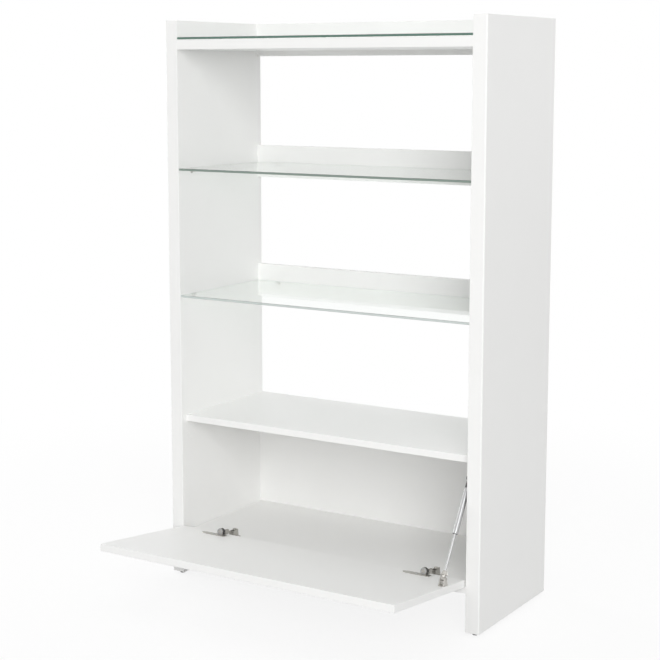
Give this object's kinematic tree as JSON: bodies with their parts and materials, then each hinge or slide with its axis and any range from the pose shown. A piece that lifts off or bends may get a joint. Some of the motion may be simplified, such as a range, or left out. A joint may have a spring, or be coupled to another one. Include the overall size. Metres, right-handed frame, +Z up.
{
  "type": "bookcase",
  "caption": "Free-standing white bookcase with thick sides, glass shelves, an open back with rails, and a lower cupboard whose drop-down flap turns on hinges and a gas strut.",
  "frame": {"origin": "on the floor, at the middle of the room that the bookcase takes with its flap open", "axes": "+Z up, +X to the right seen from the front, +Y from the front to the back"},
  "size_m": [1, 0.7824, 1.6],
  "materials": {
    "white_lacquer": "white satin lacquer on board",
    "shelf_glass": "clear float glass, ground edges",
    "nickel": "satin nickel plate",
    "bright_steel": "bright steel",
    "zinc": "bare zinc",
    "dark_plastic": "black moulded plastic",
    "clear_plastic": "clear soft plastic",
    "beech": "bare beech"
  },
  "bodies": {
    "cabinet": {"bottom_board": "white_lacquer", "cabinet_leaf_screws": "nickel", "connector_bolts": "nickel", "connector_cams": "zinc", "dowels": "beech", "fixed_shelf": "white_lacquer", "foot_inserts": "zinc", "left_hinge_cabinet_leaf": "nickel", "left_hinge_pin": "nickel", "left_side_panel": "white_lacquer", "lower_back_panel": "white_lacquer", "lower_back_rail": "white_lacquer", "lower_glass_shelf": "shelf_glass", "rail_shelf_supports": "nickel", "right_hinge_cabinet_leaf": "nickel", "right_hinge_pin": "nickel", "right_side_panel": "white_lacquer", "shelf_support_pads": "clear_plastic", "side_shelf_supports": "nickel", "strut_wall_bracket": "nickel", "strut_wall_screws": "nickel", "top_back_rail": "white_lacquer", "top_board": "white_lacquer", "top_glass": "shelf_glass", "top_glass_pads": "clear_plastic", "upper_back_rail": "white_lacquer", "upper_glass_shelf": "shelf_glass"},
    "flap": {"flap_door": "white_lacquer", "left_hinge_flap_leaf": "nickel", "right_hinge_flap_leaf": "nickel", "left_hinge_barrel": "nickel", "right_hinge_barrel": "nickel", "flap_leaf_screws": "nickel", "hinge_barrel_screws": "nickel", "strut_foot": "nickel", "strut_foot_pin": "bright_steel", "strut_foot_screws": "nickel"},
    "strut_rod": {"strut_lower_eye": "nickel", "strut_rod": "bright_steel", "strut_piston": "dark_plastic"},
    "strut_tube": {"strut_tube": "bright_steel", "strut_gland": "dark_plastic", "strut_upper_socket": "dark_plastic"},
    "front_left_foot": {"front_left_foot_glide": "dark_plastic", "front_left_foot_stem": "nickel"},
    "front_right_foot": {"front_right_foot_glide": "dark_plastic", "front_right_foot_stem": "nickel"},
    "back_left_foot": {"back_left_foot_glide": "dark_plastic", "back_left_foot_stem": "nickel"},
    "back_right_foot": {"back_right_foot_glide": "dark_plastic", "back_right_foot_stem": "nickel"}
  },
  "joints": [
    {"name": "flap_hinge", "type": "hinge", "parent": "cabinet", "child": "flap", "pos_m": [0, -0.01834, 0.1302], "axis": [-1, 0, 0], "range_deg": [0, 83.3]},
    {"name": "strut_swing", "type": "hinge", "parent": "flap", "child": "strut_rod", "pos_m": [0.447, -0.11968, 0.18037], "axis": [1, 0, 0], "range_deg": [0, 114]},
    {"name": "strut_slide", "type": "slide", "parent": "strut_rod", "child": "strut_tube", "axis": [0, -0.5249, -0.8512], "range_m": [0, 0.097]},
    {"name": "front_left_foot_turn", "type": "hinge", "parent": "cabinet", "child": "front_left_foot", "pos_m": [-0.48, 0.00116, 0.004], "axis": [0, 0, 1], "continuous": true},
    {"name": "front_right_foot_turn", "type": "hinge", "parent": "cabinet", "child": "front_right_foot", "pos_m": [0.48, 0.00116, 0.004], "axis": [0, 0, 1], "continuous": true},
    {"name": "back_left_foot_turn", "type": "hinge", "parent": "cabinet", "child": "back_left_foot", "pos_m": [-0.48, 0.37116, 0.004], "axis": [0, 0, 1], "continuous": true},
    {"name": "back_right_foot_turn", "type": "hinge", "parent": "cabinet", "child": "back_right_foot", "pos_m": [0.48, 0.37116, 0.004], "axis": [0, 0, 1], "continuous": true}
  ],
  "couplings": [
    {"joint": "strut_swing", "follows": "flap_hinge", "ratio": 1.3663},
    {"joint": "strut_slide", "follows": "flap_hinge", "m_per_rad": 0.066581}
  ]
}
